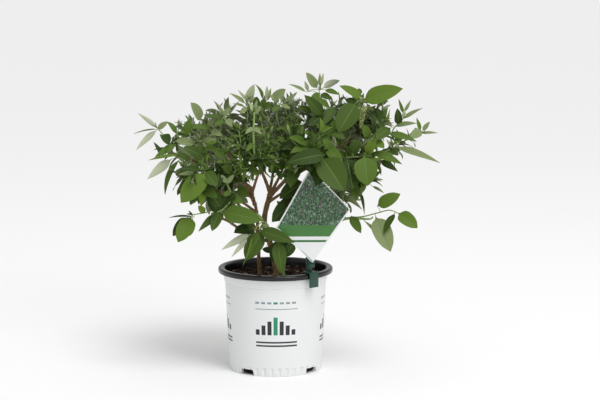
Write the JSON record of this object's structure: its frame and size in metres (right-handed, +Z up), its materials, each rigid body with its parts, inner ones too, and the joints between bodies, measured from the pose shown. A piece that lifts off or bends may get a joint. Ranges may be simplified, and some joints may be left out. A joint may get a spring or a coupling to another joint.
{
  "type": "potted butterfly bush",
  "caption": "Young butterfly bush with lance-shaped leaves on woody stems, standing in a round plastic nursery pot with a rolled rim and a clipped-on plant label.",
  "frame": {"origin": "centre of the flat underside of the pot, on the surface that it stands on", "axes": "+Z up along the pot's axis, +X to the right and +Y away from the viewer, as seen from the side of the pot that the label faces"},
  "size_m": [0.4381, 0.2954, 0.4247],
  "materials": {
    "pot_white": "satin white moulded plastic",
    "rim_black": "glossy black",
    "potting_mix": "rough shredded bark",
    "label": "satin printed card",
    "clip": "satin dark green",
    "old_wood": "rough bark",
    "red_wood": "smooth bark",
    "young_wood": "smooth green bark",
    "foliage": "satin leaves, pale and felted below"
  },
  "bodies": {
    "root": {"pot_wall": "pot_white", "pot_rim": "rim_black", "potting_mix": "potting_mix", "label_card": "label", "label_clip": "clip", "main_stem": "old_wood", "left_stem": "old_wood", "green_stem": "young_wood", "bough_top_left": "old_wood", "bough_top_right": "old_wood", "bough_top_centre": "old_wood", "bough_right": "old_wood", "bough_far_right": "old_wood", "bough_right_front": "old_wood", "bough_front_right": "old_wood", "bough_back": "old_wood", "bough_back_right": "old_wood", "bough_left": "old_wood", "bough_left_middle": "old_wood", "bough_far_left": "old_wood", "bough_left_front": "old_wood", "bough_front": "red_wood", "bough_back_left": "old_wood", "bough_low_left": "old_wood", "bough_low_front": "young_wood", "bough_low_back_left": "old_wood", "bough_low_right": "young_wood", "bough_low_back_right": "young_wood", "leaves_top_left": "foliage", "leaves_top_centre": "foliage", "leaves_top_right": "foliage", "leaves_upper_right": "foliage", "leaves_right_tip": "foliage", "leaves_right_front": "foliage", "leaves_front_right": "foliage", "leaves_right_low": "foliage", "leaves_far_left": "foliage", "leaves_left_upper": "foliage", "leaves_left_front": "foliage", "leaves_left_middle": "foliage", "leaves_low_left": "foliage", "leaves_low_front": "foliage", "leaves_low_centre": "foliage", "leaves_front": "foliage", "leaves_back_left": "foliage", "leaves_back": "foliage", "leaves_back_right": "foliage", "leaves_low_back_left": "foliage", "leaves_low_back_right": "foliage"}
  },
  "joints": []
}
